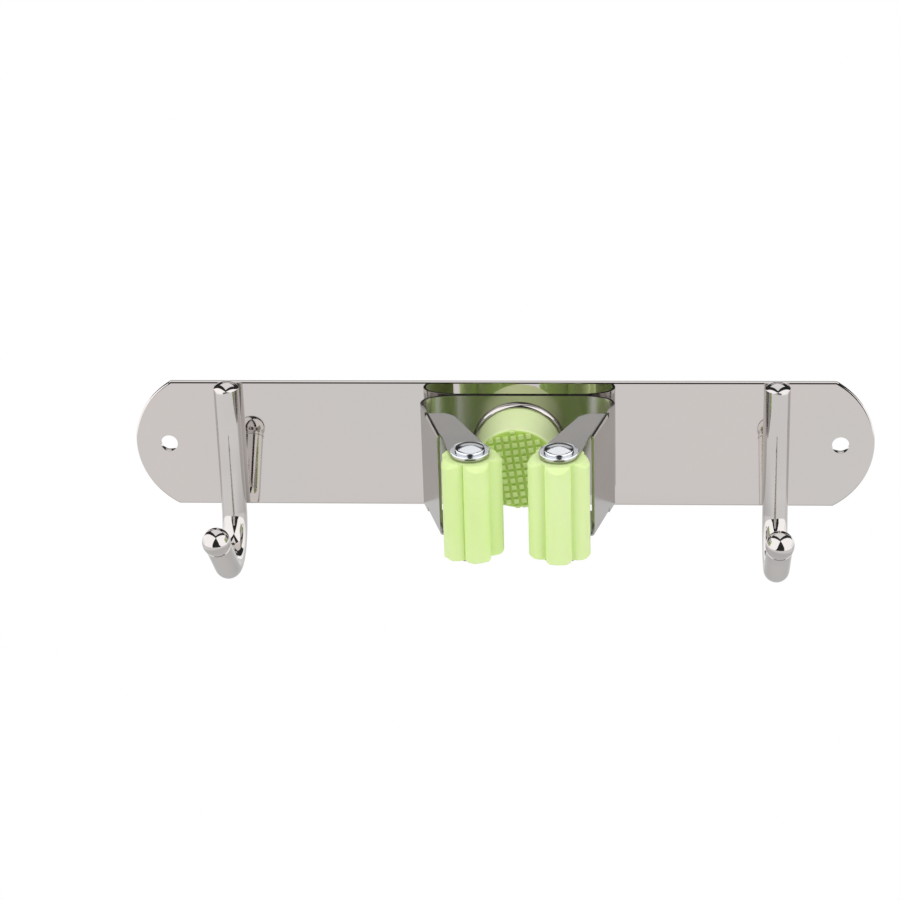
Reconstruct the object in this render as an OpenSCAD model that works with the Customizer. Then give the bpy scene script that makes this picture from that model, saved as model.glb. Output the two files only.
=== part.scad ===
// Wall rack with two hooks and a sprung broom clip. Millimetres.
// +X runs along the plate, +Z is up and the wall is at +Y.
// The origin is the middle of the plate's back face, so everything else is at -Y.

/* [Back plate] */
// Length of the plate over its two round ends
plate_l = 190; // [170:1:230]
// Height of the plate
plate_h = 35; // [32:0.5:42]
// Thickness of the plate
plate_t = 1.5; // [1.2:0.1:2.5]
// How far each round end stands out past its corners
end_rise = 10.1; // [8:0.1:13]
// Diameter of a screw hole
hole_d = 4.4; // [3.5:0.1:5.5]
// Distance from the middle of a screw hole to the end of the plate
hole_inset = 8.6; // [7:0.1:10]

/* [Hooks] */
// Distance from the middle of a hook's rod to the end of the plate
hook_inset = 25; // [18:1:32]
// Diameter of a hook's rod
rod_d = 6.5; // [5.5:0.1:7.5]
// Height of the rod's straight part above the plate's middle
rod_top = 17.4; // [12:0.1:22]
// Height of the dome on the rod's upper end
dome_h = 1.5; // [1:0.1:2.5]
// Drop from the plate's middle to the level where the bend starts
bend_drop = 17.15; // [14:0.05:24]
// Inner radius of the hook's bend
hook_bend_r = 7; // [5:0.1:10]
// Angle at which the hook's arm rises
hook_rise = 46; // [30:1:60]
// Length of the arm from the bend to the middle of its ball
hook_arm = 18; // [12:0.5:26]
// Diameter of the ball at the hook's tip
ball_d = 7.2; // [6.7:0.1:9]
// Width of the seam ring behind the ball
seam_w = 0.6; // [0.4:0.1:1]
// How far the seam ring stands proud of the rod
seam_h = 0.15; // [0.1:0.05:0.3]
// Bare length of rod between the ball and the seam ring
seam_gap = 0.5; // [0.3:0.1:1]

/* [Clip strip] */
// Sideways place of the clip on the plate
clip_x = 4.4; // [-10:0.1:10]
// Height of the spring strip
strip_h = 28; // [26:0.5:32]
// Thickness of the spring strip
strip_t = 0.7; // [0.5:0.05:1]
// How far outside a roller's axis the strip starts to lift off the plate
flat_over = 4.4; // [3:0.1:7]
// Radius at which the strip lifts off the plate
root_r = 17; // [13:0.5:22]
// Angle through which the strip lifts off
root_turn = 25; // [15:1:35]
// Outer radius of the spring bend
bend_r = 3.9; // [3:0.1:5]
// Angle at which the side walls lean inwards
arm_lean = 16; // [10:0.5:18]
// Distance from the plate to the front edge of a side wall
wall_reach = 24; // [21:0.5:27]
// How much further inwards the left arm leans as bent, with its roller
left_tilt = 1.1; // [-2:0.1:2]
// How much further inwards the right arm leans as bent, with its roller
right_tilt = -1.4; // [-2:0.1:2]

/* [Ears] */
// Distance from the plate to the rear edge of an ear
ear_start = 11.2; // [10:0.1:13]
// How far outside a roller's axis the rear corner of an ear lies
ear_corner_over = 5.6; // [4:0.1:6.5]
// Radius of an ear's rear corner
ear_corner_r = 3.6; // [2:0.1:5]
// Radius of an ear's front end
ear_end_r = 4.8; // [4:0.1:5.5]
// Inner radius of the fold between wall and ear
fold_r = 0.3; // [0.2:0.05:0.6]
// Width of the relief slot at the rear of a fold
relief_w = 0.8; // [0.4:0.1:1.2]

/* [Rollers] */
// Distance between the axes of the two rollers where neither arm is tilted
roller_spacing = 21.6; // [20:0.1:26]
// Distance from the plate to the rollers' axes
roller_reach = 33.4; // [32:0.1:37]
// Diameter of a roller over its lobes
roller_d = 15.7; // [13.4:0.1:16.5]
// Number of lobes on a roller
lobe_count = 6; // [5:1:7]
// Radius of one lobe
lobe_r = 3.55; // [3.4:0.05:4]
// Chamfer round each end of a roller
roller_edge = 1.4; // [0.5:0.1:2]
// Gap between a roller's end and its ear
roller_gap = 0.3; // [0.2:0.05:0.5]
// Outer diameter of the spacer sleeve inside a roller
sleeve_d = 5.2; // [4.8:0.1:6]
// Radial play of a roller on its sleeve
roller_play = 0.05; // [0.02:0.01:0.08]
// Turn of the left roller at rest
left_turn = 15; // [-30:1:30]
// Turn of the right roller at rest
right_turn = 3; // [-30:1:30]

/* [Rivets] */
// Diameter of a roller rivet's shank
shank_d = 3.6; // [3:0.1:4]
// Diameter of a rivet's domed head
head_d = 7.4; // [6:0.1:7.8]
// Height of a rivet's domed head
head_h = 1.5; // [1.2:0.1:2.2]
// Diameter of the rivet's clinched tail, below the bottom ear
tail_d = 6.2; // [5.2:0.1:7.4]
// Height of the clinched tail
tail_h = 0.7; // [0.5:0.1:1.6]
// Diameter of the dished washer above an arm
washer_d = 9.8; // [9.4:0.1:10.6]
// Diameter of the plain washer below it
under_washer_d = 6.8; // [6.2:0.1:7.6]
// Thickness of both washers' floor
washer_t = 0.4; // [0.3:0.1:0.8]
// Height of the washer's rim above its floor
rim_h = 0.3; // [0.2:0.05:0.8]
// Width of the washer's rim
rim_w = 0.5; // [0.3:0.1:0.7]
// Radial play of a rivet in its holes
rivet_play = 0.05; // [0.02:0.01:0.1]

/* [Pad] */
// Diameter of the soft pad
pad_d = 22; // [18:0.5:23]
// Distance from the plate to the face of the pad
pad_reach = 14.5; // [10:0.5:16]
// Rounding of the edge of the pad's face
pad_edge = 0.8; // [0.4:0.1:1.5]
// Width of one raised square on the pad's face
stud_w = 1.15; // [0.8:0.05:1.4]
// Distance between the middles of two raised squares
stud_pitch = 1.95; // [1.7:0.05:2.6]
// Height of the raised squares
stud_h = 0.5; // [0.2:0.1:0.8]
// Turn of the grid of squares
stud_turn = 8; // [0:1:45]
// How far to the right the nearest square lies off the pad's middle
stud_right = 0.6; // [0:0.1:1]
// How far up the nearest square lies off the pad's middle
stud_up = 1; // [0:0.1:1]
// Thickness of the cup's floor under the pad
cup_t = 0.5; // [0.3:0.1:0.8]
// Radius of the cup's rolled lip
lip_r = 0.4; // [0.3:0.05:0.6]
// Gap between the pad and the cup's lip
cup_gap = 0.15; // [0.1:0.05:0.6]
// Diameter of the centre rivet's shank
pin_d = 4; // [3:0.1:5]
// Diameter of the centre rivet's head inside the pad
pin_head_d = 8.4; // [7:0.1:10]
// Height of the centre rivet's head
pin_head_h = 1.4; // [1:0.1:2]
// Depth of the countersink in the back of the plate
sink_h = 0.8; // [0.5:0.1:1]

/* [Hidden] */
$fn = 96;
steel = [0.76, 0.74, 0.72];
bright_steel = [0.85, 0.86, 0.88];
lime = [0.85, 0.95, 0.63];
// Enough for a cut to pass the face it goes through
past = 1;
// How far joined lengths run into each other
root = 0.3;
// Step in radius there, so that joined lengths of rod share no surface
step = 0.02;
// Facets of a rounded corner, and of an ear's front end
corner_steps = 8;
end_steps = 24;

// Plate: the radius whose arc has the stated rise over the plate's height
end_r = (pow(plate_h / 2, 2) + pow(end_rise, 2)) / (2 * end_rise);
corner_x = plate_l / 2 - end_rise;
hole_x = plate_l / 2 - hole_inset;
hook_x = plate_l / 2 - hook_inset;

// Hook, in distances from the plate's front
rod_r = rod_d / 2;
hook_line_r = hook_bend_r + rod_r;
ball_r = ball_d / 2;
seam_back = sqrt(pow(ball_r, 2) - pow(rod_r, 2)) + seam_gap + seam_w;

// Strip, in the clip's own plan: x from its middle, y from the plate's front
axis_x = roller_spacing / 2;
flat_l = 2 * (axis_x + flat_over);
root_mid = [flat_l / 2, root_r];
bend_mid = root_mid + (root_r - bend_r) * [sin(root_turn), -cos(root_turn)];
wall_foot = bend_mid + bend_r * [cos(arm_lean), sin(arm_lean)];
wall_l = (wall_reach - wall_foot.y) / cos(arm_lean);
fold_out = fold_r + strip_t;
ear_foot = (ear_start - wall_foot.y + fold_out * sin(arm_lean)) / cos(arm_lean);

// Roller stack
axis = [axis_x, roller_reach];
ear_z = strip_h / 2 - strip_t;
wall_out = [cos(arm_lean), sin(arm_lean)];
wall_along = [-sin(arm_lean), cos(arm_lean)];
arm_axis = [(axis - wall_foot) * wall_out, (axis - wall_foot) * wall_along];
ear_corner = [axis_x + ear_corner_over, ear_start];
arm_corner = [(ear_corner - wall_foot) * wall_out, (ear_corner - wall_foot) * wall_along];
// How far the folded strip reaches in and forward before it is cut to the ears' outline
ear_depth = ear_end_r - arm_axis.x + past;
ear_front = arm_axis.y + ear_end_r + past;
lobe_ring = roller_d / 2 - lobe_r;
sleeve_r = sleeve_d / 2;
shank_r = shank_d / 2;
rivet_hole_r = shank_r + rivet_play;

// Pad stack
pad_r = pad_d / 2;
cup_front = strip_t + cup_t;
cup_r = pad_r + cup_gap + 2 * lip_r;
stud_field = pad_r - pad_edge / 4;
stud_count = ceil(stud_field / stud_pitch);
pin_r = pin_d / 2;
sink_r = pin_r + sink_h;

// Where the line from a point touches the ear's round end, on the side that turn gives
function touch(p, turn) = let(
    way = arm_axis - p,
    line = sqrt(pow(norm(way), 2) - pow(ear_end_r, 2)),
    angle = atan2(way.y, way.x) + turn * asin(ear_end_r / norm(way)))
    p + line * [cos(angle), sin(angle)];

// Places a piece in the clip's plan, with y growing out from the plate
module in_clip() translate([clip_x, -plate_t, 0]) mirror([0, 1, 0]) children();
module in_left() in_clip() mirror([1, 0, 0]) children();
// Places what an arm carries, the whole arm being tilted about the middle of its bend
module on_left() in_left() tilted(left_tilt) children();
module on_right() in_clip() tilted(right_tilt) children();
module tilted(tilt) translate(bend_mid) rotate([0, 0, tilt]) translate(-bend_mid) children();
module along_y() rotate([-90, 0, 0]) children();

// Spherical cap of base radius r and height h
module cap(r, h) {
    ball = (r * r + h * h) / (2 * h);
    intersection() {
        translate([0, 0, h - ball]) sphere(ball);
        cylinder(h = h, r = r);
    }
}

// Part of the strip that curves about an upright axis, from one angle through a sweep
module strip_arc(outer, from, sweep) {
    rotate([0, 0, from]) rotate_extrude(angle = sweep)
        translate([outer - strip_t, -strip_h / 2]) square([strip_t, strip_h]);
}

module back_plate() {
    color(steel) difference() {
        rotate([90, 0, 0]) linear_extrude(plate_t) intersection() {
            square([plate_l + past, plate_h], center = true);
            union() {
                square([2 * corner_x, plate_h], center = true);
                for (side = [-1, 1]) translate([side * (plate_l / 2 - end_r), 0]) circle(end_r);
            }
        }
        for (side = [-1, 1]) translate([side * hole_x, past, 0])
            rotate([90, 0, 0]) cylinder(h = plate_t + 2 * past, r = hole_d / 2);
        translate([clip_x, past, 0])
            rotate([90, 0, 0]) cylinder(h = plate_t + 2 * past, r = pin_r + rivet_play);
        translate([clip_x, 0, 0]) rotate([90, 0, 0])
            cylinder(h = sink_h, r1 = sink_r + rivet_play, r2 = pin_r + rivet_play);
    }
}

// Upright part of the hook, welded along its back to the plate
module hook_upright() {
    translate([0, 0, -root]) cylinder(h = root + rod_top + bend_drop, r = rod_r);
    translate([0, 0, rod_top + bend_drop]) cap(rod_r, dome_h);
}

// Bent part of the hook in its own plan: x out from the plate, y up, the bend's centre at the origin
module hook_bend() {
    rotate([0, 0, 180]) rotate_extrude(angle = 90 + hook_rise)
        translate([hook_line_r, 0]) circle(rod_r - step);
    rotate([0, 0, hook_rise]) translate([0, -hook_line_r, 0]) rotate([0, 90, 0]) {
        translate([0, 0, -root]) cylinder(h = root + hook_arm, r = rod_r - 2 * step);
        translate([0, 0, hook_arm - seam_back]) cylinder(h = seam_w, r = rod_r + seam_h);
        translate([0, 0, hook_arm]) sphere(ball_r);
    }
}

module hook(side) {
    color(bright_steel) translate([side * hook_x, -plate_t - rod_r, -bend_drop]) {
        hook_upright();
        translate([0, -hook_line_r, 0]) rotate([90, 0, -90]) hook_bend();
    }
}

module clip_back() {
    color(steel) in_clip() difference() {
        union() {
            translate([-flat_l / 2, 0, -strip_h / 2]) cube([flat_l, strip_t, strip_h]);
            for (side = [0, 1]) mirror([side, 0, 0]) translate(root_mid) strip_arc(root_r, -90, root_turn);
        }
        translate([0, -past, 0]) along_y() cylinder(h = strip_t + 2 * past, r = pin_r + rivet_play);
    }
}

module spring_bend(tilt) translate(bend_mid)
    strip_arc(bend_r, root_turn - 90, 90 - root_turn + arm_lean + tilt);

// Points of an arc about a middle, from one angle to another
function arc(middle, r, from, to, steps) = [for (i = [0:steps])
    let(angle = from + (to - from) * i / steps) middle + r * [cos(angle), sin(angle)]];

// Direction of a vector, from 0 to 360 degrees
function bearing(v) = (atan2(v.y, v.x) + 360) % 360;

// Flat outline of an arm in the frame of its side wall, x out from the outer face and y along
// it: rounded rear corner, straight edges and a round end about the rivet
module arm_outline() {
    rear = [-fold_out, ear_foot];
    front = [-fold_out, wall_l];
    inner = touch(arm_corner, 1);
    outer = touch(front, -1);
    to_rear = (rear - arm_corner) / norm(rear - arm_corner);
    to_inner = (inner - arm_corner) / norm(inner - arm_corner);
    half = acos(to_rear * to_inner) / 2;
    cut = ear_corner_r / tan(half);
    middle = arm_corner
        + (to_rear + to_inner) / norm(to_rear + to_inner) * ear_corner_r / sin(half);
    polygon(concat([front, [past, wall_l], [past, ear_foot], rear],
        arc(middle, ear_corner_r, bearing(arm_corner + cut * to_rear - middle),
            bearing(arm_corner + cut * to_inner - middle), corner_steps),
        arc(arm_axis, ear_end_r, bearing(inner - arm_axis),
            atan2(outer.y - arm_axis.y, outer.x - arm_axis.x), end_steps)));
}

// Half-open box with two rounded corners, in the arm's cross-section
module channel(out, half, r, depth) {
    translate([out - depth, -half]) square([depth - r, 2 * half]);
    translate([out - r - root, r - half]) square([r + root, 2 * (half - r)]);
    for (side = [-1, 1]) translate([out - r, side * (half - r)]) circle(r);
}

// Length of folded strip: side wall, two folds and flat ears
module folded() {
    translate([0, ear_front, 0]) rotate([90, 0, 0]) linear_extrude(ear_front + past - ear_foot) difference() {
        channel(0, strip_h / 2, fold_out, ear_depth);
        channel(-strip_t, ear_z, fold_r, ear_depth);
    }
}

module spring_arm(tilt) {
    neck = strip_h / 2 - fold_out - root;
    color(steel) translate(bend_mid) rotate([0, 0, arm_lean + tilt]) translate([bend_r, 0]) difference() {
        union() {
            intersection() {
                folded();
                translate([0, 0, -strip_h / 2 - past]) linear_extrude(strip_h + 2 * past) arm_outline();
            }
            translate([-strip_t, 0, -strip_h / 2]) cube([strip_t, ear_foot - relief_w, strip_h]);
            translate([-strip_t, ear_foot - relief_w - root, -neck])
                cube([strip_t, relief_w + 2 * root, 2 * neck]);
        }
        translate([arm_axis.x, arm_axis.y, -strip_h / 2 - past])
            cylinder(h = strip_h + 2 * past, r = rivet_hole_r);
        // Past the wall's front edge the ears are flat
        translate([-ear_depth, wall_l, -ear_z]) cube([ear_depth + past, ear_front - wall_l, 2 * ear_z]);
    }
}

// Upright rod from the origin with a chamfer round each end, a little over the stated radius
module chamfered_rod(r, half, edge) {
    rotate_extrude() polygon([[0, 0], [r - edge, 0], [r + step, edge + step],
        [r + step, 2 * half - edge - step], [r - edge, 2 * half], [0, 2 * half]]);
}

// Lobed roller; at no turn one lobe faces straight out from the plate
module roller(turn) {
    half = ear_z - roller_gap;
    color(lime) translate([axis.x, axis.y, -half]) rotate([0, 0, turn]) difference() {
        intersection() {
            linear_extrude(2 * half) {
                circle(lobe_ring + 1);
                for (i = [0:lobe_count - 1]) rotate(90 + i * 360 / lobe_count)
                    translate([lobe_ring, 0]) circle(lobe_r);
            }
            chamfered_rod(roller_d / 2, half, roller_edge);
        }
        translate([0, 0, -past]) cylinder(h = 2 * half + 2 * past, r = sleeve_r + roller_play);
    }
}

module sleeve() {
    color(bright_steel) translate([axis.x, axis.y, -ear_z]) difference() {
        cylinder(h = 2 * ear_z, r = sleeve_r);
        translate([0, 0, -past]) cylinder(h = 2 * ear_z + 2 * past, r = rivet_hole_r);
    }
}

module rivet() {
    seat = strip_h / 2 + washer_t;
    color(bright_steel) translate([axis.x, axis.y, 0]) {
        cylinder(h = 2 * seat, r = shank_r, center = true);
        translate([0, 0, seat]) cap(head_d / 2, head_h);
        mirror([0, 0, 1]) translate([0, 0, seat]) cap(tail_d / 2, tail_h);
    }
}

// Washer with a raised rim, above the top ear
module top_washer() {
    edge = washer_d / 2;
    bevel = rim_w / 3;
    color(bright_steel) translate([axis.x, axis.y, strip_h / 2])
        rotate_extrude() polygon([[rivet_hole_r, 0], [edge - bevel, 0], [edge, bevel],
            [edge, washer_t + rim_h - bevel], [edge - bevel, washer_t + rim_h],
            [edge - rim_w, washer_t + rim_h], [edge - rim_w - bevel, washer_t], [rivet_hole_r, washer_t]]);
}

// Plain washer below the bottom ear
module bottom_washer() {
    color(bright_steel) translate([axis.x, axis.y, -strip_h / 2 - washer_t]) difference() {
        cylinder(h = washer_t, r = under_washer_d / 2);
        translate([0, 0, -past]) cylinder(h = washer_t + 2 * past, r = rivet_hole_r);
    }
}

module pad_cup() {
    color(bright_steel) in_clip() translate([0, strip_t, 0]) along_y() rotate_extrude() {
        translate([pin_r + rivet_play, 0]) square([cup_r - lip_r - pin_r - rivet_play, cup_t]);
        translate([cup_r - lip_r, lip_r]) circle(lip_r);
    }
}

// Raised squares on the pad's face, the outermost ones cut off by its edge
module studs() {
    mirror([0, 1, 0]) rotate([0, 0, stud_turn]) intersection() {
        translate([0, 0, -pad_edge]) cylinder(h = pad_edge + stud_h, r = stud_field);
        for (i = [-stud_count:stud_count], j = [-stud_count:stud_count]) {
            middle = [i * stud_pitch + stud_right, j * stud_pitch + stud_up];
            if (norm(middle) < stud_field)
                translate([middle.x - stud_w / 2, middle.y - stud_w / 2, -pad_edge])
                    cube([stud_w, stud_w, pad_edge + stud_h]);
        }
    }
}

module grip_pad() {
    thick = pad_reach - cup_front;
    color(lime) in_clip() translate([0, cup_front, 0]) along_y() {
        difference() {
            rotate_extrude() {
                square([pad_r, thick - pad_edge]);
                square([pad_r - pad_edge, thick]);
                translate([pad_r - pad_edge, thick - pad_edge]) circle(pad_edge);
            }
            translate([0, 0, -past])
                cylinder(h = past + pin_head_h + rivet_play, r = pin_head_d / 2 + rivet_play);
        }
        translate([0, 0, thick]) studs();
    }
}

// Rivet through cup, strip and plate, its tail filling the countersink in the plate's back
module centre_rivet() {
    color(bright_steel) in_clip() along_y() {
        translate([0, 0, -plate_t]) cylinder(h = plate_t + cup_front, r = pin_r);
        translate([0, 0, -plate_t]) cylinder(h = sink_h, r1 = sink_r, r2 = pin_r);
        translate([0, 0, cup_front]) cylinder(h = pin_head_h, r = pin_head_d / 2);
    }
}

back_plate();
hook(-1);  // left_hook
hook(1);  // right_hook
clip_back();
color(steel) in_left() spring_bend(left_tilt);  // left_spring_bend
color(steel) in_clip() spring_bend(right_tilt);  // right_spring_bend
in_left() spring_arm(left_tilt);  // left_spring_arm
in_clip() spring_arm(right_tilt);  // right_spring_arm
on_left() roller(left_turn);  // left_roller
on_right() roller(right_turn);  // right_roller
on_left() sleeve();  // left_sleeve
on_right() sleeve();  // right_sleeve
on_left() rivet();  // left_rivet
on_right() rivet();  // right_rivet
on_left() top_washer();  // left_top_washer
on_left() bottom_washer();  // left_bottom_washer
on_right() top_washer();  // right_top_washer
on_right() bottom_washer();  // right_bottom_washer
pad_cup();
grip_pad();
centre_rivet();
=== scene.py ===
import math
import bmesh
import bpy
from mathutils import Matrix, Vector


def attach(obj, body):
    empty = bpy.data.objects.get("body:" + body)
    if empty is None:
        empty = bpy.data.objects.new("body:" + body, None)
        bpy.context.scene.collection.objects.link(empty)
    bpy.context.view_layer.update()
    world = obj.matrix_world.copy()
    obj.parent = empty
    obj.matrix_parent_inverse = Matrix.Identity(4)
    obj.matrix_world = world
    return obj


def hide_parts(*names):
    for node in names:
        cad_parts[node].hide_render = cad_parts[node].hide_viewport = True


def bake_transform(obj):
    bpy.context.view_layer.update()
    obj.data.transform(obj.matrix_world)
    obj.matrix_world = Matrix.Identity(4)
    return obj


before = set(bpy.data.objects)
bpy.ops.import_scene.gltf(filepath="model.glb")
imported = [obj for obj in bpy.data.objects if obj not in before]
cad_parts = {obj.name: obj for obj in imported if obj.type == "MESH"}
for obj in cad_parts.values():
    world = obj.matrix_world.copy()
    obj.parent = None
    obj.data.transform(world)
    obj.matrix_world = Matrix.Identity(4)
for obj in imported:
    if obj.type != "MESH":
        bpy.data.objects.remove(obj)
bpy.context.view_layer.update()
mm = 0.001
near = 0.01                 # vertices closer than this lie on the same spot
print("frame loaded:", len(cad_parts), "nodes")

# Lengths below are in millimetres. Pieces are built in the rack's own frame and scaled once, at the end.
plate = {
    "length": 190.0,
    "height": 35.0,
    "thick": 1.5,
    "endRise": 10.1,       # how far each round end stands out past its corners
    "holeD": 4.4,
    "holeInset": 8.6,
    "pinD": 4.1,
    "edge": 0.5,           # rounding of the outer edges
    "holeEdge": 0.1,
    "arcSteps": 40,
    "holeSteps": 48,
}
hook = {
    "inset": 25.0,
    "rodD": 6.5,
    "neck": 1.0,           # upright end below the dome, drawn on its own
    "top": 17.4,
    "domeH": 1.5,
    "domeEdge": 0.3,       # rounding between rod and dome
    "drop": 17.15,
    "bendR": 7.0,
    "rise": 46.0,
    "arm": 18.0,
    "ballD": 7.2,
    "seamW": 0.6,
    "seamH": 0.15,
    "seamGap": 0.5,
    "around": 64,
    "bendSteps": 48,
}
strip = {
    "middle": 4.4,         # sideways place of the clip on the plate
    "height": 28.0,
    "thick": 0.7,
    "flatHalf": 15.2,
    "rootR": 17.0,
    "rootTurn": 25.0,
    "bendR": 3.9,
    "lean": 16.0,
    "reach": 24.0,
    "tilt": {"left": 1.1, "right": -1.4},   # how much further inwards each arm leans
    "earStart": 11.2,
    "earCorner": 16.4,
    "earCornerR": 3.6,
    "earEndR": 4.8,
    "foldR": 0.3,
    "relief": 0.8,
    "neckIn": 0.3,
    "edge": 0.1,
}
roller = {
    "axisX": 10.8,
    "reach": 33.4,
    "lobes": 5,
    "outerD": 15.7,
    "lobeR": 3.2,
    "top": 13.0,
    "low": 13.2,
    "boreD": 5.3,
    "topEdge": 1.4,        # chamfer round the upper end
    "lowEdge": 0.35,       # and round the lower one
    "soft": 0.25,
    "turn": {"left": 19.0, "right": 3.0},
    "lobeSteps": 20,
}
rivet = {
    "shankD": 3.6,
    "headD": 7.4,
    "headH": 1.5,
    "headLip": 0.55,       # upright edge below the dome
    "headSoft": 0.45,
    "headFoot": 0.08,      # small bevel where the head lies on the washer
    "tailD": 6.2,
    "tailH": 0.7,
    "tailLip": 0.2,
    "tailSoft": 0.1,
    "tailFoot": 0.06,
    "holeD": 3.7,
    "washerD": 9.8,
    "underD": 6.8,
    "washerT": 0.4,
    "washerSoft": 0.14,
    "underSoft": 0.1,
    "beadH": 0.07,         # fine bead round the washer's edge
    "beadW": 0.45,
    "around": 56,
}
pad = {
    "d": 22.0,
    "reach": 14.5,
    "edge": 0.8,
    "studW": 1.3,
    "studPitch": 1.95,
    "studH": 0.5,
    "studTurn": 8.0,
    "studRight": 0.6,
    "studUp": 1.0,
    "studEdge": 0.16,
    "recessD": 8.5,
    "recessH": 1.45,
    "around": 96,
}
cup = {
    "thick": 0.5,
    "beadR": 1.05,         # quarter-round bead of the rim
    "foot": 0.25,          # how far the bead's middle stands off the strip
    "bevel": 0.1,
    "lap": 0.08,           # height of that bevel, and how far the bead's end is cut back
    "tuck": 0.02,
    "gap": 0.1,
    "boreD": 4.1,
    "around": 96,
}


sides = {"left": -1, "right": 1}
cornerShare = 0.7071        # from a square's middle to its corner, as a share of its width


def clipPlace(side):
    # takes the clip's plan to the rack's frame, on the right for 1 and on the left for -1
    return Matrix(((side, 0, 0, strip["middle"]), (0, -1, 0, -plate["thick"]), (0, 0, 1, 0), (0, 0, 0, 1)))


# Shader maths: a Wire is a socket, and an expression on Wires adds its Math nodes

class Wire:
    def __init__(self, tree, socket=None):
        self.tree = tree
        self.socket = socket

    def node(self, kind, settings=None, inputs=None, output=0):
        made = self.tree.nodes.new(kind)
        for key, value in (settings or {}).items():
            if key == "stops":
                self.fillRamp(made.color_ramp, value)
            else:
                setattr(made, key, value)
        for key, value in (inputs or {}).items():
            if isinstance(value, Wire):
                self.tree.links.new(value.socket, made.inputs[key])
            else:
                made.inputs[key].default_value = value
        return Wire(self.tree, made.outputs[output] if len(made.outputs) else None)

    def output(self, name):
        return Wire(self.tree, self.socket.node.outputs[name])

    def fillRamp(self, ramp, stops):
        while len(ramp.elements) < len(stops):
            ramp.elements.new(0.5)
        for element, (place, colour) in zip(ramp.elements, stops):
            element.position = place
            element.color = (*colour, 1)

    def maths(self, operation, first, second=0.0):
        return self.node("ShaderNodeMath", {"operation": operation}, {0: first, 1: second})

    def __add__(self, other):
        return self.maths("ADD", self, other)

    def __radd__(self, other):
        return self.maths("ADD", other, self)

    def __sub__(self, other):
        return self.maths("SUBTRACT", self, other)

    def __rsub__(self, other):
        return self.maths("SUBTRACT", other, self)

    def __mul__(self, other):
        return self.maths("MULTIPLY", self, other)

    def __rmul__(self, other):
        return self.maths("MULTIPLY", other, self)

    def clamped(self, low, high):
        return self.node("ShaderNodeMapRange", {"interpolation_type": "SMOOTHSTEP"},
                         {"Value": self, "From Min": low, "From Max": high})

    def split(self):
        return [self.node("ShaderNodeSeparateXYZ", {}, {0: self}, axis) for axis in range(3)]


def mixColours(start, factor, first, second):
    made = start.node("ShaderNodeMix", {"data_type": "RGBA"}, {"Factor": factor}, 2)
    tree = start.tree
    mixNode = made.socket.node
    for index, value in ((6, first), (7, second)):
        if isinstance(value, Wire):
            tree.links.new(value.socket, mixNode.inputs[index])
        else:
            mixNode.inputs[index].default_value = (*value, 1)
    return made


def newMaterial(name):
    material = bpy.data.materials.new(name)
    material.use_nodes = True
    material.node_tree.nodes.clear()
    return material, Wire(material.node_tree)


def finishMaterial(start, settings):
    shader = start.node("ShaderNodeBsdfPrincipled", {}, settings)
    start.node("ShaderNodeOutputMaterial", {}, {"Surface": shader})


def noise(start, place, scale, detail=3.0, rough=0.5):
    inputs = {"Vector": place, "Scale": scale, "Detail": detail, "Roughness": rough}
    return start.node("ShaderNodeTexNoise", {}, inputs)


def objectPlace(start):
    return start.node("ShaderNodeTexCoord", {}, {}, 3)


def stretched(start, place, scale):
    return start.node("ShaderNodeMapping", {}, {"Vector": place, "Scale": scale})


def polishedSteel(name, look):
    material, start = newMaterial(name)
    place = objectPlace(start)
    clouds = noise(start, place, look["cloudScale"], 2.0)
    grain = noise(start, stretched(start, place, look["grainStretch"]), look["grainScale"], 4.0, 0.65)
    colour = mixColours(start, clouds.clamped(0.38, 0.66), look["colour"], look["tint"])
    rough = look["rough"] + look["roughSpread"] * grain
    waves = {"Strength": look["wave"], "Distance": 0.0002, "Height": clouds + 0.02 * grain}
    bump = start.node("ShaderNodeBump", {}, waves)
    finishMaterial(start, {"Base Color": colour, "Roughness": rough, "Metallic": 1.0, "Normal": bump})
    return material


def limeRubber(name, look):
    material, start = newMaterial(name)
    place = objectPlace(start)
    patches = noise(start, place, look["patchScale"], 3.0)
    skin = noise(start, place, look["skinScale"], 3.0, 0.6)
    colour = mixColours(start, patches.clamped(0.35, 0.68), look["colour"], look["tint"])
    # painted shade: by depth, the pad's front face is darker than its sides, and darkest between the squares
    if "grooveShade" in look:
        depth = place.split()[1]
        face = mixColours(start, depth.clamped(*look["squareTops"]), look["square"], look["grooveShade"])
        colour = mixColours(start, depth.clamped(*look["faceEdge"]), face, colour)
    rough = look["rough"] + look["roughSpread"] * skin
    bump = start.node("ShaderNodeBump", {}, {"Strength": look["bump"], "Distance": 0.0002, "Height": skin})
    finishMaterial(start, {"Base Color": colour, "Roughness": rough, "Normal": bump,
                           "Subsurface Weight": look["glow"], "Subsurface Scale": look["glowDepth"],
                           "Subsurface Radius": (0.6, 1.0, 0.3), "IOR": 1.42})
    return material


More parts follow.
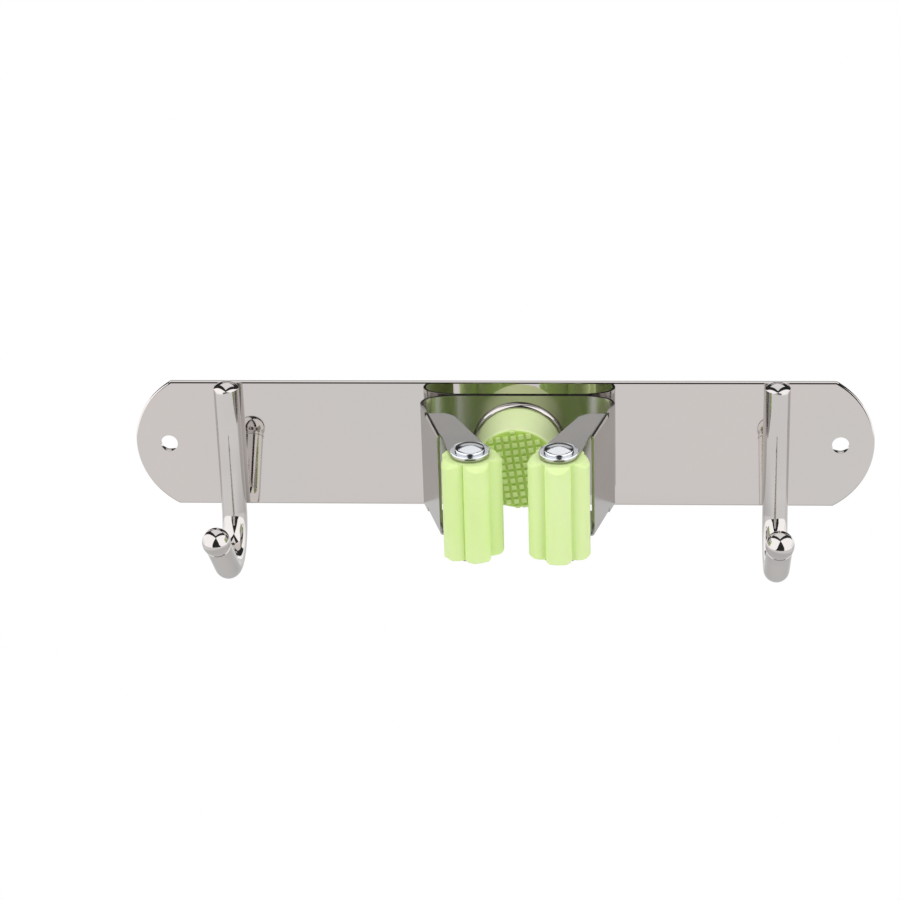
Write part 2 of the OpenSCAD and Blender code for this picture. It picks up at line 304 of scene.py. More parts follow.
plateFinish = {
    "colour": (0.595, 0.567, 0.548),
    "tint": (0.61, 0.567, 0.553),
    "cloudScale": 28.0,
    "grainStretch": (1.0, 1.0, 14.0),
    "grainScale": 320.0,
    "rough": 0.025,
    "roughSpread": 0.014,
    "wave": 0.02,
}
springFinish = {
    "colour": (0.42, 0.41, 0.395),
    "tint": (0.45, 0.43, 0.41),
    "cloudScale": 60.0,
    "grainStretch": (1.0, 1.0, 10.0),
    "grainScale": 420.0,
    "rough": 0.17,
    "roughSpread": 0.04,
    "wave": 0.03,
}
rodFinish = {
    "colour": (0.575, 0.55, 0.54),
    "tint": (0.605, 0.575, 0.555),
    "cloudScale": 70.0,
    "grainStretch": (1.0, 1.0, 6.0),
    "grainScale": 500.0,
    "rough": 0.045,
    "roughSpread": 0.04,
    "wave": 0.04,
}
zincFinish = {
    "colour": (0.68, 0.70, 0.73),
    "tint": (0.74, 0.75, 0.77),
    "cloudScale": 160.0,
    "grainStretch": (1.0, 1.0, 1.0),
    "grainScale": 900.0,
    "rough": 0.09,
    "roughSpread": 0.08,
    "wave": 0.05,
}
rollerFinish = {
    "colour": (0.72, 0.90, 0.38),
    "tint": (0.76, 0.92, 0.44),
    "patchScale": 60.0,
    "skinScale": 1500.0,
    "rough": 0.42,
    "roughSpread": 0.14,
    "bump": 0.12,
    "glow": 0.25,
    "glowDepth": 0.0015,
}
padFinish = {
    "colour": (0.78, 0.92, 0.47),
    "tint": (0.81, 0.93, 0.51),
    "grooveShade": (0.55, 0.77, 0.18),     # painted shade between the squares
    # painted shade: the squares' tone, darker than the pad's sides
    "square": (0.72, 0.90, 0.36),
    "squareTops": (-0.01640, -0.01612),
    "faceEdge": (-0.01598, -0.0157),
    "patchScale": 70.0,
    "skinScale": 1500.0,
    "rough": 0.45,
    "roughSpread": 0.14,
    "bump": 0.12,
    "glow": 0.25,
    "glowDepth": 0.0012,
}
materials = {
    "plate_steel": polishedSteel("polishedPlate", plateFinish),
    "spring_steel": polishedSteel("springStrip", springFinish),
    "rod_steel": polishedSteel("polishedRod", rodFinish),
    "rivet_zinc": polishedSteel("brightZinc", zincFinish),
    "roller_lime": limeRubber("rollerRubber", rollerFinish),
    "pad_lime": limeRubber("padRubber", padFinish),
}
print("materials ready:", len(materials))


# Mesh steps shared by the pieces

def edgesAmong(made, verts):
    kept = set(verts)
    return [edge for edge in onlyEdges(made) if all(v in kept for v in edge.verts)]


def extruded(bm, edges, offset):
    made = bmesh.ops.extrude_edge_only(bm, edges=edges)["geom"]
    verts = onlyVerts(made)
    bmesh.ops.translate(bm, verts=verts, vec=offset)
    return edgesAmong(made, verts)


def swung(bm, geom, centre, axis, degrees, steps):
    made = bmesh.ops.spin(bm, geom=geom, cent=centre, axis=axis, dvec=(0, 0, 0),
                          angle=math.radians(degrees), steps=steps, use_merge=False, use_duplicate=False)
    return made["geom_last"]


def onlyEdges(geom):
    return [item for item in geom if isinstance(item, bmesh.types.BMEdge)]


def onlyVerts(geom):
    return [item for item in geom if isinstance(item, bmesh.types.BMVert)]


def ringsAlong(bm, edges, foot, direction, profile):
    # goes on from a ring of edges: profile holds (distance along, radius) pairs, first the ring's own
    (along, radius), rest = profile[0], profile[1:]
    for nextAlong, nextRadius in rest:
        edges = extruded(bm, edges, direction * (nextAlong - along))
        middle = foot + direction * nextAlong
        grow = Matrix.Translation(middle) @ Matrix.Scale(nextRadius / radius, 4) @ Matrix.Translation(-middle)
        bmesh.ops.transform(bm, matrix=grow, verts=list({v for e in edges for v in e.verts}))
        along, radius = nextAlong, nextRadius
    return edges


def closedAt(bm, edges, pole):
    bmesh.ops.pointmerge(bm, verts=list({v for e in edges for v in e.verts}), merge_co=pole)


def arcProfile(centre, radius, start, end, steps):
    # (along, across) pairs on an arc, with angles measured from across towards along
    angles = [math.radians(start + (end - start) * i / steps) for i in range(steps + 1)]
    return [(centre[0] + radius * math.sin(a), centre[1] + radius * math.cos(a)) for a in angles]


def capProfile(base, radius, height, soft, steps):
    # a spherical cap on a round rod, with the edge between them rounded off
    ball = (radius ** 2 + height ** 2) / (2 * height)
    middle = base + height - ball
    lift = math.sqrt((ball - soft) ** 2 - (radius - soft) ** 2)
    turn = math.degrees(math.asin(lift / (ball - soft)))
    edge = arcProfile((middle + lift, radius - soft), soft, 0, turn, 4)
    return edge + arcProfile((middle, 0), ball, turn, 90, steps)[1:-1] + [(base + height, 0)]


def turned(profile, centre, axis, steps):
    # a full turn of a profile of (along, radius) pairs
    bm = bmesh.new()
    side = axis.orthogonal().normalized()
    verts = [bm.verts.new(centre + axis * along + side * radius) for along, radius in profile]
    closed = profile[0][1] > 0 and profile[-1][1] > 0
    ends = verts[1:] + (verts[:1] if closed else [])
    edges = [bm.edges.new(pair) for pair in zip(verts, ends)]
    bmesh.ops.spin(bm, geom=verts + edges, cent=centre, axis=axis, dvec=(0, 0, 0),
                   angle=math.tau, steps=steps, use_merge=True, use_duplicate=False)
    bmesh.ops.remove_doubles(bm, verts=bm.verts, dist=1e-4)
    return bm


def sharpEdges(bm, degrees, keep=None):
    chosen = [e for e in bm.edges if len(e.link_faces) == 2 and e.calc_face_angle(0) > math.radians(degrees)]
    return [e for e in chosen if keep is None or keep(e)]


def rounded(bm, edges, width, segments):
    bmesh.ops.bevel(bm, geom=edges, offset=width, offset_type="OFFSET", segments=segments, profile=0.5,
                    affect="EDGES", material=-1, clamp_overlap=True)


def thickened(bm, thickness):
    made = bmesh.ops.extrude_face_region(bm, geom=bm.faces[:])["geom"]
    bmesh.ops.translate(bm, verts=onlyVerts(made), vec=thickness)
    bmesh.ops.recalc_face_normals(bm, faces=bm.faces)


def circleEdges(bm, centre, axis, radius, steps):
    place = Matrix.Translation(centre) @ axis.to_track_quat("Z", "Y").to_matrix().to_4x4()
    verts = bmesh.ops.create_circle(bm, cap_ends=False, radius=radius, segments=steps, matrix=place)["verts"]
    return list({e for v in verts for e in v.link_edges})


def makePiece(name, bm, slotName, place=None):
    if place is not None:
        bm.transform(place)
    bm.transform(Matrix.Scale(mm, 4))
    bmesh.ops.recalc_face_normals(bm, faces=bm.faces)
    mesh = bpy.data.meshes.new(name)
    bm.to_mesh(mesh)
    bm.free()
    mesh.shade_smooth()
    mesh.set_sharp_from_angle(angle=math.radians(38))
    mesh.materials.append(materials[slotName])
    piece = bpy.data.objects.new(name, mesh)
    bpy.context.scene.collection.objects.link(piece)
    weighted = piece.modifiers.new("evenShading", "WEIGHTED_NORMAL")
    weighted.keep_sharp = True
    weighted.weight = 90
    return piece


# Back plate

def makePlate():
    bm = bmesh.new()
    halfH = plate["height"] / 2
    endR = (halfH ** 2 + plate["endRise"] ** 2) / (2 * plate["endRise"])
    cornerX = plate["length"] / 2 - plate["endRise"]
    halfTurn = math.degrees(math.asin(halfH / endR))
    edges = []
    corners = []
    for side in (1, -1):
        first = bm.verts.new((side * cornerX, 0, -side * halfH))
        centre = (side * (plate["length"] / 2 - endR), 0, 0)
        last = onlyVerts(swung(bm, [first], centre, (0, -1, 0), 2 * halfTurn, plate["arcSteps"]))[0]
        corners += [first, last]
    bm.edges.new((corners[1], corners[2]))
    bm.edges.new((corners[3], corners[0]))
    holeX = plate["length"] / 2 - plate["holeInset"]
    centres = (-holeX, strip["middle"], holeX)
    for x, d in zip(centres, (plate["holeD"], plate["pinD"], plate["holeD"])):
        circleEdges(bm, Vector((x, 0, 0)), Vector((0, 1, 0)), d / 2, plate["holeSteps"])
    bmesh.ops.triangle_fill(bm, use_beauty=True, use_dissolve=False, edges=bm.edges[:])
    thickened(bm, (0, -plate["thick"], 0))
    inHole = lambda e: any(math.hypot(v.co.x - x, v.co.z) < plate["holeD"] for v in e.verts for x in centres)
    rounded(bm, sharpEdges(bm, 60, lambda e: not inHole(e)), plate["edge"], 2)
    rounded(bm, sharpEdges(bm, 60, inHole), plate["holeEdge"], 2)
    piece = makePiece("plateSheet", bm, "plate_steel")
    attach(piece, "rack")
    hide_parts("back_plate")


# Hooks

def makeHook(side, name, node):
    bm = bmesh.new()
    rodR = hook["rodD"] / 2
    ballR = hook["ballD"] / 2
    lineR = hook["bendR"] + rodR
    x = side * (plate["length"] / 2 - hook["inset"])
    neck = hook["neck"]
    top = Vector((x, -plate["thick"] - rodR, hook["top"] - neck))
    up = Vector((0, 0, 1))
    ring = circleEdges(bm, top, up, rodR, hook["around"])
    dome = [(0, rodR)] + capProfile(neck, rodR, hook["domeH"], hook["domeEdge"], 16)[:-1]
    closedAt(bm, ringsAlong(bm, ring, top, up, dome), top + up * (neck + hook["domeH"]))
    length = hook["top"] - neck + hook["drop"]
    ring = ringsAlong(bm, ring, top, -up, [(length * i / 6, rodR) for i in range(7)])
    bendMiddle = top - up * length + Vector((0, -lineR, 0))
    ring = onlyEdges(swung(bm, ring, bendMiddle, (-1, 0, 0), 90 + hook["rise"], hook["bendSteps"]))
    rise = math.radians(hook["rise"])
    armWay = Vector((0, -math.cos(rise), math.sin(rise)))
    foot = bendMiddle + Vector((0, -math.sin(rise), -math.cos(rise))) * lineR
    ballStart = hook["arm"] - math.sqrt(ballR ** 2 - rodR ** 2)
    seamEnd = ballStart - hook["seamGap"]
    seamStart = seamEnd - hook["seamW"]
    soft = hook["seamH"]
    profile = [(seamStart * i / 4, rodR) for i in range(5)]
    profile += [(seamStart + soft * 0.4, rodR + soft * 0.7), (seamStart + soft, rodR + soft),
                (seamEnd - soft, rodR + soft), (seamEnd - soft * 0.4, rodR + soft * 0.7), (seamEnd, rodR)]
    back = math.degrees(math.asin((hook["arm"] - ballStart) / ballR))
    profile += arcProfile((hook["arm"], 0), ballR, -back, 86, 26)
    closedAt(bm, ringsAlong(bm, ring, foot, armWay, profile), foot + armWay * (hook["arm"] + ballR))
    piece = makePiece(name, bm, "rod_steel")
    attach(piece, "rack")
    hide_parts(node)


# Spring strip: each half is one sheet, from the middle of the clip round the bend to the ears

def bendFrame():
    turn = math.radians(strip["rootTurn"])
    rootMiddle = Vector((strip["flatHalf"], strip["rootR"], 0))
    towards = Vector((math.sin(turn), -math.cos(turn), 0))
    return rootMiddle, rootMiddle + (strip["rootR"] - strip["bendR"]) * towards


def tilted(word):
    # the extra lean of an arm, about the middle of its bend
    middle = bendFrame()[1]
    turn = Matrix.Rotation(math.radians(strip["tilt"][word]), 4, "Z")
    return Matrix.Translation(middle) @ turn @ Matrix.Translation(-middle)


def stripFrame():
    s = strip
    lean = math.radians(s["lean"])
    rootMiddle, bendMiddle = bendFrame()
    wallOut = Vector((math.cos(lean), math.sin(lean), 0))
    wallAlong = Vector((-math.sin(lean), math.cos(lean), 0))
    foot = bendMiddle + s["bendR"] * wallOut
    foldOut = s["foldR"] + s["thick"]
    wallL = (s["reach"] - foot.y) / math.cos(lean)
    earFoot = (s["earStart"] - foot.y + foldOut * math.sin(lean)) / math.cos(lean)
    return rootMiddle, bendMiddle, wallOut, wallAlong, foot, foldOut, wallL, earFoot


def bearing(vector):
    return math.degrees(math.atan2(vector.y, vector.x))


def makeStripHalf(word, name, nodes):
    s = strip
    rootMiddle, bendMiddle, wallOut, wallAlong, foot, foldOut, wallL, earFoot = stripFrame()
    upright = (0, 0, 1)
    half = s["height"] / 2
    neck = half - foldOut - s["neckIn"]
    bm = bmesh.new()
    column = [bm.verts.new((0, 0, z)) for z in (-half, -neck, neck, half)]
    edges = [bm.edges.new(pair) for pair in zip(column, column[1:])]
    edges = extruded(bm, edges, Vector((s["flatHalf"], 0, 0)))
    edges = onlyEdges(swung(bm, edges, rootMiddle, upright, s["rootTurn"], 10))
    bendTurn = 90 - s["rootTurn"] + s["lean"] + s["tilt"][word]
    edges = onlyEdges(swung(bm, edges, bendMiddle, upright, bendTurn, 30))
    bmesh.ops.transform(bm, matrix=tilted(word).inverted(), verts=bm.verts)
    edges = extruded(bm, edges, wallAlong * (earFoot - s["relief"]))
    inner = [e for e in edges if all(abs(v.co.z) < neck + near for v in e.verts)]
    inner = extruded(bm, inner, wallAlong * s["relief"])
    makeEars(bm, inner, foot, wallOut, wallAlong, foldOut, wallL, earFoot)
    bmesh.ops.transform(bm, matrix=tilted(word), verts=bm.verts)
    bmesh.ops.remove_doubles(bm, verts=bm.verts, dist=1e-3)
    bmesh.ops.recalc_face_normals(bm, faces=bm.faces)
    outside = max(bm.faces, key=lambda f: f.calc_center_median().dot(wallOut))
    if outside.normal.dot(wallOut) < 0:
        bmesh.ops.reverse_faces(bm, faces=bm.faces)
    bmesh.ops.solidify(bm, geom=bm.faces[:], thickness=s["thick"])
    atMiddle = lambda e: all(abs(v.co.x) < near for v in e.verts)
    rounded(bm, sharpEdges(bm, 50, lambda e: not atMiddle(e)), s["edge"], 2)
    piece = makePiece(name, bm, "spring_steel", clipPlace(sides[word]))
    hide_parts(*nodes)
    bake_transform(piece)


def makeEars(bm, edges, foot, wallOut, wallAlong, foldOut, wallL, earFoot):
    s = strip
    half = s["height"] / 2
    rim = edges[0]
    front = extruded(bm, edges, wallAlong * (wallL - earFoot))
    axis = Vector((roller["axisX"], roller["reach"], 0))
    corner = Vector((s["earCorner"], s["earStart"], 0))
    for end in (1, -1):
        lower = [v for v in rim.verts if v.co.z * end > 0][0]
        upper = [v for e in front for v in e.verts if v.co.z * end > 0][0]
        along = [e for e in lower.link_edges if upper in e.verts]
        along = extruded(bm, along, Vector((0, 0, end * s["neckIn"])))
        centre = foot - wallOut * foldOut + Vector((0, 0, end * (half - foldOut)))
        along = onlyEdges(swung(bm, along, centre, wallAlong * -end, 90, 6))
        earFace(bm, along[0], foot, wallOut, wallAlong, axis, corner, end * half)


def touching(point, centre, radius, turn):
    way = centre - point
    reach = math.sqrt(way.length_squared - radius ** 2)
    angle = math.atan2(way.y, way.x) + turn * math.asin(radius / way.length)
    return point + reach * Vector((math.cos(angle), math.sin(angle), 0))


def earFace(bm, foldEdge, foot, wallOut, wallAlong, axis, corner, z):
    s = strip
    lift = Vector((0, 0, z))
    rear, front = sorted(foldEdge.verts, key=lambda v: v.co.dot(wallAlong))
    rearFlat = Vector((rear.co.x, rear.co.y, 0))
    frontFlat = Vector((front.co.x, front.co.y, 0))
    inner = touching(corner, axis, s["earEndR"], 1)
    outer = touching(frontFlat, axis, s["earEndR"], -1)
    toRear = (rearFlat - corner).normalized()
    toInner = (inner - corner).normalized()
    halfAngle = toRear.angle(toInner) / 2
    cut = s["earCornerR"] / math.tan(halfAngle)
    middle = corner + (toRear + toInner).normalized() * s["earCornerR"] / math.sin(halfAngle)
    cornerTurn = 180 - math.degrees(2 * halfAngle)
    cornerStart = bm.verts.new(corner + cut * toRear + lift)
    cornerEnd = onlyVerts(swung(bm, [cornerStart], middle + lift, (0, 0, -1), cornerTurn, 10))[0]
    endTurn = (bearing(inner - axis) - bearing(outer - axis)) % 360
    endStart = bm.verts.new(inner + lift)
    endLast = onlyVerts(swung(bm, [endStart], axis + lift, (0, 0, -1), endTurn, 32))[0]
    ring = [foldEdge]
    for pair in ((rear, cornerStart), (cornerEnd, endStart), (endLast, front)):
        ring.append(bm.edges.new(pair))
    ring += arcEdges(cornerStart, cornerEnd) + arcEdges(endStart, endLast)
    ring += circleEdges(bm, axis + lift, Vector((0, 0, 1)), rivet["holeD"] / 2, 32)
    bmesh.ops.triangle_fill(bm, use_beauty=True, use_dissolve=False, edges=ring)


def arcEdges(first, last):
    # walks along the loose chain of edges from one vertex to the other
    found = []
    at, before = first, None
    while at is not last:
        steps = [e for e in at.link_edges if e is not before and not e.link_faces]
        steps = [e for e in steps if e.other_vert(at) is last or len(e.other_vert(at).link_edges) == 2]
        before = min(steps, key=lambda e: e.calc_length())
        found.append(before)
        at = before.other_vert(at)
    return found


# Rollers, their rivets and washers

def chamferedEnd(bm, edges, way, outer, half, edge, soft):
    # grows a lobed ring to one end of the roller, cut to a cone whose two rims are rounded
    start = half - edge
    bite = soft * math.tan(math.radians(22.5))
    profile = [(start * 0.5, outer), (start - bite, outer)]
    profile += arcProfile((start - bite, outer - soft), soft, 8, 45, 4)
    slope = [(start + edge * t, outer - edge * t) for t in (0.3, 0.45, 0.6, 0.75)]
    profile += [pair for pair in slope if pair[0] > profile[-1][0] + 0.02]
    rim = arcProfile((half - soft, outer - edge - bite), soft, 45, 90, 4)
    profile += [pair for pair in rim if pair[0] > profile[-1][0] + 0.01]
    along = 0
    for nextAlong, limit in profile:
        edges = extruded(bm, edges, way * (nextAlong - along))
        for vert in {v for e in edges for v in e.verts}:
            reach = math.hypot(vert.co.x, vert.co.y)
            if reach > limit:
                vert.co.x *= limit / reach
                vert.co.y *= limit / reach
        along = nextAlong
    return edges


def makeRoller(word, name):
    r = roller
    node = word + "_roller"
    bm = bmesh.new()
    ringR = r["outerD"] / 2 - r["lobeR"]
    step = 360 / r["lobes"]
    halfStep = math.radians(step / 2)
    valley = ringR * math.cos(halfStep) + math.sqrt(r["lobeR"] ** 2 - (ringR * math.sin(halfStep)) ** 2)
    sweep = math.degrees(math.atan2(valley * math.sin(halfStep), valley * math.cos(halfStep) - ringR))
    for i in range(r["lobes"]):
        out = math.radians(90 + r["turn"][word] + i * step)
        centre = Vector((math.cos(out), math.sin(out), 0)) * ringR
        start = out - math.radians(sweep)
        first = bm.verts.new(centre + r["lobeR"] * Vector((math.cos(start), math.sin(start), 0)))
        swung(bm, [first], centre, (0, 0, 1), 2 * sweep, r["lobeSteps"])
    bmesh.ops.remove_doubles(bm, verts=bm.verts, dist=near)
    # the lobed ring is drawn at mid height and grows both ways into chamfered ends
    up = Vector((0, 0, 1))
    outer = r["outerD"] / 2
    ring = bm.edges[:]
    for way, half, edge in ((up, r["top"], r["topEdge"]), (-up, r["low"], r["lowEdge"])):
        last = chamferedEnd(bm, ring, way, outer, half, edge, r["soft"])
        bore = circleEdges(bm, way * half, up, r["boreD"] / 2, 40)
        bmesh.ops.triangle_fill(bm, use_beauty=True, use_dissolve=False, edges=last + bore)
    bores = [e for e in bm.edges if len(e.link_faces) == 1]
    bmesh.ops.bridge_loops(bm, edges=bores)
    place = clipPlace(sides[word]) @ tilted(word) @ Matrix.Translation((r["axisX"], r["reach"], 0))
    piece = makePiece(name, bm, "roller_lime", place)
    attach(piece, node)
    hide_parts(node)


def stackPlace(word):
    return clipPlace(sides[word]) @ tilted(word) @ Vector((roller["axisX"], roller["reach"], 0))


def makeRivet(word, name):
    r = rivet
    shank = r["shankD"] / 2
    head = r["headD"] / 2
    tail = r["tailD"] / 2
    seat = strip["height"] / 2 + r["washerT"]
    lip = r["headLip"]
    foot = r["tailFoot"]
    low = [(seat, shank), (seat, tail - foot), (seat + foot, tail)]
    low += capProfile(seat + r["tailLip"], tail, r["tailH"] - r["tailLip"], r["tailSoft"], 12)
    foot = r["headFoot"]
    high = [(seat, shank), (seat, head - foot), (seat + foot, head)]
    high += capProfile(seat + lip, head, r["headH"] - lip, r["headSoft"], 16)
    profile = [(-along, radius) for along, radius in reversed(low)] + high
    bm = turned(profile, stackPlace(word), Vector((0, 0, 1)), rivet["around"])
    piece = makePiece(name, bm, "rivet_zinc")
    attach(piece, word + "_arm")
    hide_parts(word + "_rivet")


def makeTopWasher(word, name):
    r = rivet
    edge = r["washerD"] / 2
    top = r["washerT"]
    soft = r["washerSoft"]
    profile = [(0, r["holeD"] / 2), (0, edge - soft), (soft * 0.3, edge - soft * 0.3), (soft, edge)]
    profile += [(top - soft, edge), (top - soft * 0.3, edge - soft * 0.3), (top + r["beadH"], edge - soft)]
    profile += [(top + r["beadH"], edge - r["beadW"] * 0.7), (top, edge - r["beadW"])]
    profile += [(top, r["holeD"] / 2)]
    up = Vector((0, 0, 1))
    bm = turned(profile, stackPlace(word) + up * strip["height"] / 2, up, r["around"])
    piece = makePiece(name, bm, "rivet_zinc")
    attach(piece, word + "_arm")
    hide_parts(word + "_top_washer")


def makeBottomWasher(word, name):
    r = rivet
    edge = r["underD"] / 2
    soft = r["underSoft"]
    profile = [(0, r["holeD"] / 2), (0, edge - soft), (soft, edge), (r["washerT"] - soft, edge)]
    profile += [(r["washerT"], edge - soft), (r["washerT"], r["holeD"] / 2)]
    down = Vector((0, 0, -1))
    bm = turned(profile, stackPlace(word) + down * strip["height"] / 2, down, r["around"])
    piece = makePiece(name, bm, "rivet_zinc")
    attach(piece, word + "_arm")
    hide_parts(word + "_bottom_washer")


# Pad and its cup

def makeCup():
    c = cup
    out = Vector((0, -1, 0))
    seat = Vector((strip["middle"], -plate["thick"] - strip["thick"], 0))
    inner = pad["d"] / 2 + c["gap"]
    outer = inner + c["beadR"]
    mouth = inner - c["tuck"]
    profile = [(0, c["boreD"] / 2), (0, outer - c["bevel"]), (c["lap"], outer)]
    profile += arcProfile((c["foot"], inner), c["beadR"], 0, 86, 14)
    profile += [(c["foot"] + c["beadR"] - c["lap"], mouth), (c["thick"], mouth), (c["thick"], c["boreD"] / 2)]
    bm = turned(profile, seat, out, c["around"])
    piece = makePiece("padCupRing", bm, "plate_steel")
    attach(piece, "rack")
    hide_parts("pad_cup")


def makePad():
    p = pad
    out = Vector((0, -1, 0))
    seatD = strip["thick"] + cup["thick"]
    seat = Vector((strip["middle"], -plate["thick"] - seatD, 0))
    thick = p["reach"] - seatD
    radius = p["d"] / 2
    recess = p["recessD"] / 2
    profile = [(p["recessH"], 0), (p["recessH"], recess), (0, recess), (0, radius)]
    profile += [(thick * i / 8, radius) for i in range(1, 7)]
    profile += arcProfile((thick - p["edge"], radius - p["edge"]), p["edge"], 0, 90, 8)
    profile += [((thick, (radius - p["edge"]) * (1 - i / 6))) for i in range(1, 6)] + [(thick, 0)]
    bm = turned(profile, seat, out, p["around"])
    field = radius - p["edge"] / 4
    count = math.ceil(field / p["studPitch"])
    turn = Matrix.Rotation(math.radians(-p["studTurn"]), 4, "Y")
    for i in range(-count, count + 1):
        for j in range(-count, count + 1):
            x = i * p["studPitch"] + p["studRight"]
            z = j * p["studPitch"] + p["studUp"]
            if math.hypot(x, z) < field:
                addStud(bm, seat + out * thick, turn, x, z, field)
    piece = makePiece("gripPadRubber", bm, "pad_lime")
    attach(piece, "rack")
    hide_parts("grip_pad")


def addStud(bm, faceMiddle, turn, x, z, field):
    # the outermost squares are cut off by the pad's round edge
    p = pad
    sunk = p["edge"]
    size = Matrix.Diagonal((p["studW"], p["studH"] + sunk, p["studW"], 1))
    place = Matrix.Translation(faceMiddle) @ turn @ Matrix.Translation((x, (sunk - p["studH"]) / 2, z)) @ size
    verts = bmesh.ops.create_cube(bm, size=1.0, matrix=place)["verts"]
    if math.hypot(x, z) + p["studW"] * cornerShare > field:
        outward = (turn @ Vector((x, 0, z))).normalized()
        geom = verts + list({e for v in verts for e in v.link_edges})
        geom += list({f for v in verts for f in v.link_faces})
        cut = bmesh.ops.bisect_plane(bm, geom=geom, plane_co=faceMiddle + outward * field, plane_no=outward,
                                     clear_outer=True)
        bmesh.ops.holes_fill(bm, edges=onlyEdges(cut["geom_cut"]), sides=0)
        verts = list({v for v in verts if v.is_valid} | set(onlyVerts(cut["geom_cut"])))
    edges = list({e for v in verts for e in v.link_edges})
    frontY = min(v.co.y for v in verts)
    front = [e for e in edges if any(abs(v.co.y - frontY) < near for v in e.verts)]
    rounded(bm, front, p["studEdge"], 2)


makePlate()
makeHook(-1, "hookRodLeft", "left_hook")
makeHook(1, "hookRodRight", "right_hook")
print("plate and hooks made")
for word in sides:
    tail = word.capitalize()
    makeStripHalf(word, "clipStrip" + tail, ["clip_back", word + "_spring_bend", word + "_spring_arm"])
    makeRoller(word, "gripRoller" + tail)
    makeRivet(word, "domeRivet" + tail)
    makeTopWasher(word, "topWasher" + tail)
    makeBottomWasher(word, "bottomWasher" + tail)
print("clip and rollers made")
makeCup()
makePad()
print("pad made")
for name in ("left_sleeve", "right_sleeve", "centre_rivet"):
    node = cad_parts[name]
    node.data.materials.clear()
    node.data.materials.append(materials["rivet_zinc"])


# Studio: lengths from here on are in metres, apart from the camera's place

camera = {
    "place": (40.0, -646.2, 310.2),     # millimetres
    "heading": 4.74,       # degrees to the left of straight at the plate
    "dip": 25.74,
    "roll": -1.87,
    "focal": 2787.3,       # in pixels of a 900 pixel wide picture
    "pictureWidth": 900,
    "sensor": 36.0,
}
studio = {
    "floorDrop": 0.16,
    "floorSize": 6.0,
    "roomGlow": 0.4,         # what matt surfaces see all round
    "darkGlow": 0.035,       # the gaps between the softboxes, as polished steel sees them
    "sideGlow": 1.5,
    "topGlow": 1.1,
    "backGlow": 0.68,        # wall behind and above, seen in the ears' flat tops
    "topSides": (0.667, 0.193),    # how the top panel's half width grows backwards and upwards
    "topBack": (1.55, -0.6),       # its back edge, upwards and sideways
    "sideEdge": (1.0, 0.575),      # where the side panels begin, backwards and upwards
    "wedgeLean": (0.51, 0.286),
    "wedgeShift": 0.1,
    "backHalf": 0.35,
    "backStart": (0.6, 0.75),      # where it fades in, backwards
    "backFoot": (0.15, 0.3),       # and upwards
    "backTop": 0.55,
    "backSoft": 0.1,
    "soft": 0.03,
    # painted shadow: as polished metal sees it, the floor is dimmer near the rack and brightens outwards
    "floorNear": 0.25,
    "floorFar": 0.33,
    "floorShadowGlow": 0.72,
    "floorFarGlow": 0.97,
    "floorEnd": 0.5,
    "floorEndSoft": 0.05,
    "floorShade": 0.15,            # how much darker the floor is behind the rack
    "floorShadeReach": 0.12,
    "paper": (0.9, 0.9, 0.9, 1.0),
}
lamps = {
    "topBox": {
        "place": (0.0, -0.12, 0.44),
        "aim": (0.0, -0.02, 0.0),
        "width": 0.5,
        "height": 0.4,
        "glow": 1.6,
    },
    "leftBox": {
        "place": (-0.52, -0.36, 0.14),
        "aim": (0.0, 0.0, 0.0),
        "width": 0.55,
        "height": 0.5,
        "glow": 1.8,
    },
    "rightBox": {
        "place": (0.52, -0.36, 0.14),
        "aim": (0.0, 0.0, 0.0),
        "width": 0.55,
        "height": 0.5,
        "glow": 1.8,
    },
}


def makeCamera():
    heading, dip, roll = (math.radians(camera[key]) for key in ("heading", "dip", "roll"))
    forward = Vector((-math.sin(heading) * math.cos(dip), math.cos(heading) * math.cos(dip), -math.sin(dip)))
    level = Vector((math.cos(heading), math.sin(heading), 0))
    up = level.cross(forward)
    right = level * math.cos(roll) + up * math.sin(roll)
    top = up * math.cos(roll) - level * math.sin(roll)
    data = bpy.data.cameras.new("photoCamera")
    data.sensor_width = camera["sensor"]
    data.lens = camera["focal"] / camera["pictureWidth"] * camera["sensor"]
    shot = bpy.data.objects.new("photoCamera", data)
    axes = Matrix((right, top, -forward)).transposed().to_4x4()
    shot.matrix_world = Matrix.Translation(Vector(camera["place"]) * mm) @ axes
    bpy.context.scene.collection.objects.link(shot)
    bpy.context.scene.camera = shot


def rayKinds(start):
    path = start.node("ShaderNodeLightPath")
    glossy = path.output("Is Glossy Ray")
    direct = path.output("Is Camera Ray")
    seen = direct.maths("MAXIMUM", direct, path.output("Is Transmission Ray"))
    return glossy, seen


def sideMask(x, y, z):
    # 1 on the white side panels, which leave a dark wedge open about the camera
    forward, upward = studio["wedgeLean"]
    across = x + studio["wedgeShift"] * y
    edge = across.maths("ABSOLUTE", across) + forward * y + upward * z
    return edge.clamped(0.0, studio["soft"])


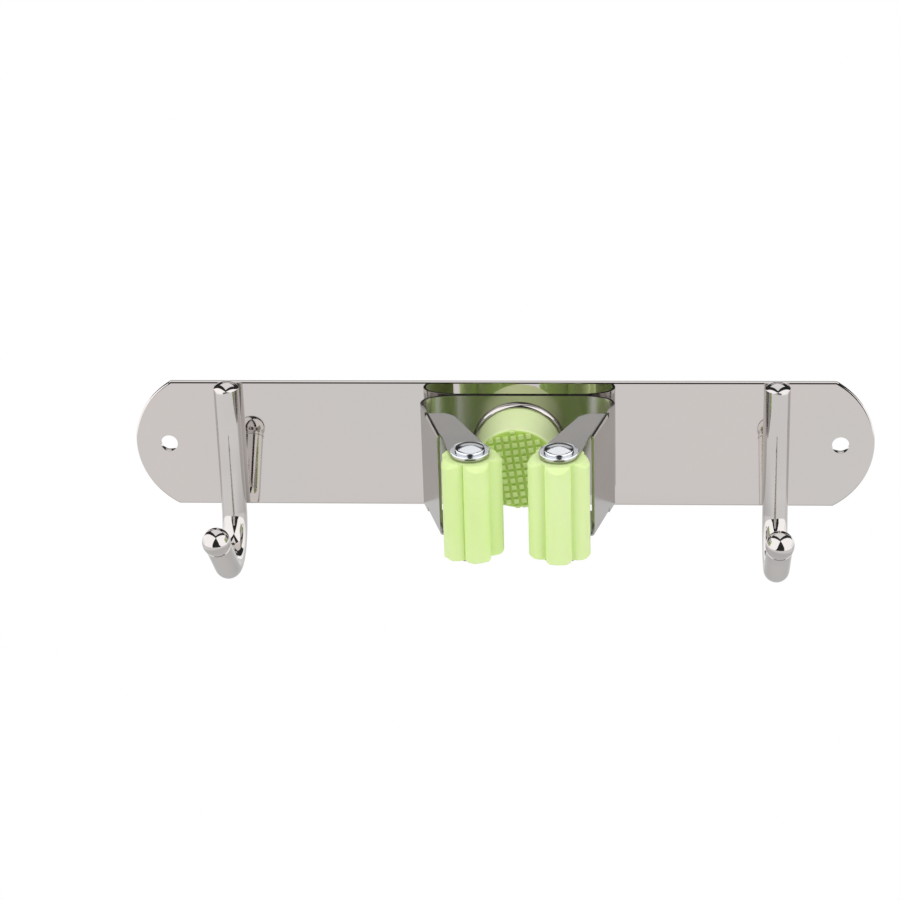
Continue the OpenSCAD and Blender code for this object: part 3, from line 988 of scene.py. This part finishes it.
def makeWorld():
    world = bpy.data.worlds.new("studioTent")
    world.use_nodes = True
    world.node_tree.nodes.clear()
    start = Wire(world.node_tree)
    glossy, seen = rayKinds(start)
    x, y, z = start.node("ShaderNodeTexCoord").split()
    soft = studio["soft"]
    aside = x.maths("ABSOLUTE", x)
    topBackward, topUpward = studio["topSides"]
    backUpward, backSideways = studio["topBack"]
    sideBackward, sideUpward = studio["sideEdge"]
    top = (topBackward * y + topUpward * z - aside).clamped(0.0, soft)
    top = top * (backUpward * z + backSideways * aside - y).clamped(0.0, soft)
    panel = sideMask(x, y, z) * (aside - sideBackward * y - sideUpward * z).clamped(0.0, soft)
    back = y.clamped(*studio["backStart"]) * z.clamped(*studio["backFoot"])
    back = back * (studio["backTop"] - z).clamped(0.0, studio["backSoft"])
    back = back * (studio["backHalf"] - aside).clamped(0.0, studio["backSoft"])
    glow = studio["darkGlow"] + studio["topGlow"] * top
    glow = glow + studio["sideGlow"] * panel + studio["backGlow"] * back
    strength = seen + (1 - seen) * (glossy * glow + (1 - glossy) * studio["roomGlow"])
    light = start.node("ShaderNodeBackground", {}, {"Color": (1, 1, 1, 1), "Strength": strength})
    start.node("ShaderNodeOutputWorld", {}, {"Surface": light})
    bpy.context.scene.world = world


def makeFloor():
    bm = bmesh.new()
    bmesh.ops.create_grid(bm, x_segments=1, y_segments=1, size=studio["floorSize"] / 2)
    bmesh.ops.translate(bm, verts=bm.verts, vec=(0, 0, -studio["floorDrop"]))
    mesh = bpy.data.meshes.new("paleFloor")
    bm.to_mesh(mesh)
    bm.free()
    material, start = newMaterial("palePaper")
    x, y, z = objectPlace(start).split()
    away = start.node("ShaderNodeVectorMath", {"operation": "LENGTH"}, {0: objectPlace(start)}, 1)
    # painted shadow: for glossy rays the floor is dimmer near the rack and behind it
    rise = away.clamped(studio["floorNear"], studio["floorFar"])
    glow = studio["floorShadowGlow"] + rise * (studio["floorFarGlow"] - studio["floorShadowGlow"])
    far = away.clamped(studio["floorEnd"], studio["floorEnd"] + studio["floorEndSoft"])
    panel = sideMask(x, y, z)
    glow = glow * (1 - far) + far * (studio["darkGlow"] + panel * studio["sideGlow"])
    glow = glow * (1 - studio["floorShade"] * y.clamped(0.0, studio["floorShadeReach"]))
    glossy, seen = rayKinds(start)
    paper = start.node("ShaderNodeBsdfDiffuse", {}, {"Color": studio["paper"]})
    strength = glossy * glow + (1 - glossy)
    shine = start.node("ShaderNodeEmission", {}, {"Color": (1, 1, 1, 1), "Strength": strength})
    lit = glossy.maths("MAXIMUM", glossy, seen)
    mixed = start.node("ShaderNodeMixShader", {}, {0: lit, 1: paper, 2: shine})
    start.node("ShaderNodeOutputMaterial", {}, {"Surface": mixed})
    mesh.materials.append(material)
    floor = bpy.data.objects.new("paleFloor", mesh)
    bpy.context.scene.collection.objects.link(floor)


def softbox(name, place, aim, width, height, glow):
    # an area lamp of the stated brightness; polished metal sees the panels of the tent instead
    data = bpy.data.lights.new(name, "AREA")
    data.shape = "RECTANGLE"
    data.size = width
    data.size_y = height
    data.energy = glow * math.pi * width * height
    lamp = bpy.data.objects.new(name, data)
    way = Vector(aim) - Vector(place)
    lamp.matrix_world = Matrix.Translation(place) @ way.to_track_quat("-Z", "Y").to_matrix().to_4x4()
    lamp.visible_camera = False
    lamp.visible_glossy = False
    bpy.context.scene.collection.objects.link(lamp)


makeCamera()
makeWorld()
makeFloor()
for name, lamp in lamps.items():
    softbox(name, **lamp)
bpy.context.scene.view_settings.view_transform = "Standard"
print("studio ready")
